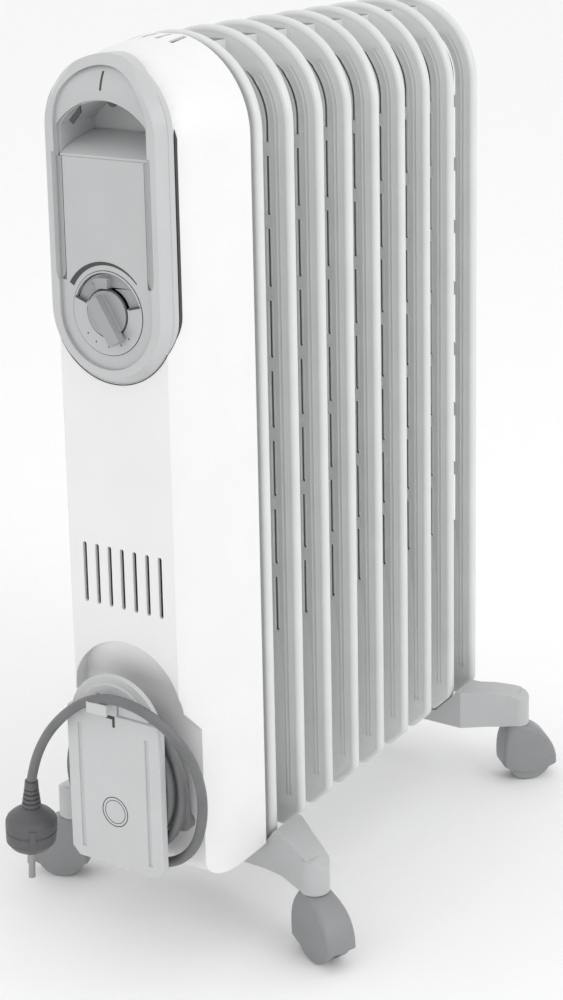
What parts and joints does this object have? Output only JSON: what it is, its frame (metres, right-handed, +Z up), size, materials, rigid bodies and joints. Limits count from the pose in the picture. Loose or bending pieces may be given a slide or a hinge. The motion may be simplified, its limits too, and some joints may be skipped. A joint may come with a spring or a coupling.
{
  "type": "oil filled radiator heater",
  "caption": "Upright oil filled radiator heater with pressed steel fins, a white control casing, a dial, a cord wrap with its cord and plug, and castors.",
  "frame": {"origin": "on the floor, in the middle of the object's box without its cord", "axes": "+Z up, -Y towards the control panel, fins stacked along Y, +X to the right of someone facing the panel"},
  "size_m": [0.2818, 0.4394, 0.6379],
  "materials": {
    "fin_enamel": "semi-gloss enamel",
    "casing_white": "gloss white",
    "bezel_grey": "satin light grey",
    "panel_grey": "satin light grey",
    "dark_plastic": "matt dark grey",
    "grip_grey": "matt mid grey",
    "lens_clear": "clear amber",
    "foot_grey": "satin light grey",
    "hood_grey": "satin mid grey",
    "wheel_grey": "satin mid grey",
    "zinc_steel": "zinc plated",
    "shield_steel": "bare sheet steel",
    "cord_grey": "satin mid grey",
    "plug_grey": "satin dark grey",
    "pin_brass": "nickel over brass"
  },
  "bodies": {
    "radiator": {"fin_1": "fin_enamel", "fin_2": "fin_enamel", "fin_3": "fin_enamel", "fin_4": "fin_enamel", "fin_5": "fin_enamel", "fin_6": "fin_enamel", "fin_7": "fin_enamel", "fin_8": "fin_enamel", "fin_9": "fin_enamel", "filler_plug": "fin_enamel", "element_flange": "zinc_steel", "heating_element": "zinc_steel", "front_casing": "casing_white", "heat_shield": "shield_steel", "bezel": "bezel_grey", "control_panel": "panel_grey", "handle_cup": "dark_plastic", "pilot_lens": "lens_clear", "pilot_lamp": "lens_clear", "dial_plate": "panel_grey", "thermostat": "dark_plastic", "selector_switch": "dark_plastic", "terminal_block": "dark_plastic", "thermal_cutout": "zinc_steel", "casing_screws": "zinc_steel", "wrap_spool": "dark_plastic", "wrap_plate": "panel_grey", "wrap_flange": "casing_white", "wrap_screws": "zinc_steel", "cord_gland": "cord_grey", "cord_coil": "cord_grey", "cord_lead": "cord_grey", "plug_body": "plug_grey", "plug_pins": "pin_brass", "u_bolts": "zinc_steel", "wing_nuts": "zinc_steel", "foot_front": "foot_grey", "foot_rear": "foot_grey"},
    "selector": {"selector_knob": "bezel_grey", "selector_shaft": "zinc_steel"},
    "thermostat_dial": {"thermostat_ring": "grip_grey", "thermostat_shaft": "zinc_steel"},
    "castor_front_right": {"castor_hood_front_right": "hood_grey", "castor_pins_front_right": "zinc_steel"},
    "wheel_front_right_a": {"wheel_front_right_a": "wheel_grey"},
    "wheel_front_right_b": {"wheel_front_right_b": "wheel_grey"},
    "castor_front_left": {"castor_hood_front_left": "hood_grey", "castor_pins_front_left": "zinc_steel"},
    "wheel_front_left_a": {"wheel_front_left_a": "wheel_grey"},
    "wheel_front_left_b": {"wheel_front_left_b": "wheel_grey"},
    "castor_rear_right": {"castor_hood_rear_right": "hood_grey", "castor_pins_rear_right": "zinc_steel"},
    "wheel_rear_right_a": {"wheel_rear_right_a": "wheel_grey"},
    "wheel_rear_right_b": {"wheel_rear_right_b": "wheel_grey"},
    "castor_rear_left": {"castor_hood_rear_left": "hood_grey", "castor_pins_rear_left": "zinc_steel"},
    "wheel_rear_left_a": {"wheel_rear_left_a": "wheel_grey"},
    "wheel_rear_left_b": {"wheel_rear_left_b": "wheel_grey"}
  },
  "joints": [
    {"name": "selector_turn", "type": "hinge", "parent": "radiator", "child": "selector", "pos_m": [0, -0.19705, 0.462], "axis": [0, 1, 0], "range_deg": [0, 90]},
    {"name": "thermostat_turn", "type": "hinge", "parent": "radiator", "child": "thermostat_dial", "pos_m": [0, -0.19705, 0.462], "axis": [0, 1, 0], "range_deg": [-47, 65]},
    {"name": "swivel_front_right", "type": "hinge", "parent": "radiator", "child": "castor_front_right", "pos_m": [0.107, -0.12355, 0.05], "axis": [0, 0, 1], "continuous": true},
    {"name": "roll_front_right_a", "type": "hinge", "parent": "castor_front_right", "child": "wheel_front_right_a", "pos_m": [0.11534, -0.12692, 0.0195], "axis": [0.3746, 0.9272, 0], "continuous": true},
    {"name": "roll_front_right_b", "type": "hinge", "parent": "castor_front_right", "child": "wheel_front_right_b", "pos_m": [0.11534, -0.12692, 0.0195], "axis": [0.3746, 0.9272, 0], "continuous": true},
    {"name": "swivel_front_left", "type": "hinge", "parent": "radiator", "child": "castor_front_left", "pos_m": [-0.107, -0.12355, 0.05], "axis": [0, 0, 1], "continuous": true},
    {"name": "roll_front_left_a", "type": "hinge", "parent": "castor_front_left", "child": "wheel_front_left_a", "pos_m": [-0.11534, -0.12692, 0.0195], "axis": [0.3746, -0.9272, 0], "continuous": true},
    {"name": "roll_front_left_b", "type": "hinge", "parent": "castor_front_left", "child": "wheel_front_left_b", "pos_m": [-0.11534, -0.12692, 0.0195], "axis": [0.3746, -0.9272, 0], "continuous": true},
    {"name": "swivel_rear_right", "type": "hinge", "parent": "radiator", "child": "castor_rear_right", "pos_m": [0.107, 0.18695, 0.05], "axis": [0, 0, 1], "continuous": true},
    {"name": "roll_rear_right_a", "type": "hinge", "parent": "castor_rear_right", "child": "wheel_rear_right_a", "pos_m": [0.11336, 0.19331, 0.0195], "axis": [-0.7071, 0.7071, 0], "continuous": true},
    {"name": "roll_rear_right_b", "type": "hinge", "parent": "castor_rear_right", "child": "wheel_rear_right_b", "pos_m": [0.11336, 0.19331, 0.0195], "axis": [-0.7071, 0.7071, 0], "continuous": true},
    {"name": "swivel_rear_left", "type": "hinge", "parent": "radiator", "child": "castor_rear_left", "pos_m": [-0.107, 0.18695, 0.05], "axis": [0, 0, 1], "continuous": true},
    {"name": "roll_rear_left_a", "type": "hinge", "parent": "castor_rear_left", "child": "wheel_rear_left_a", "pos_m": [-0.11336, 0.19331, 0.0195], "axis": [-0.7071, -0.7071, 0], "continuous": true},
    {"name": "roll_rear_left_b", "type": "hinge", "parent": "castor_rear_left", "child": "wheel_rear_left_b", "pos_m": [-0.11336, 0.19331, 0.0195], "axis": [-0.7071, -0.7071, 0], "continuous": true}
  ]
}
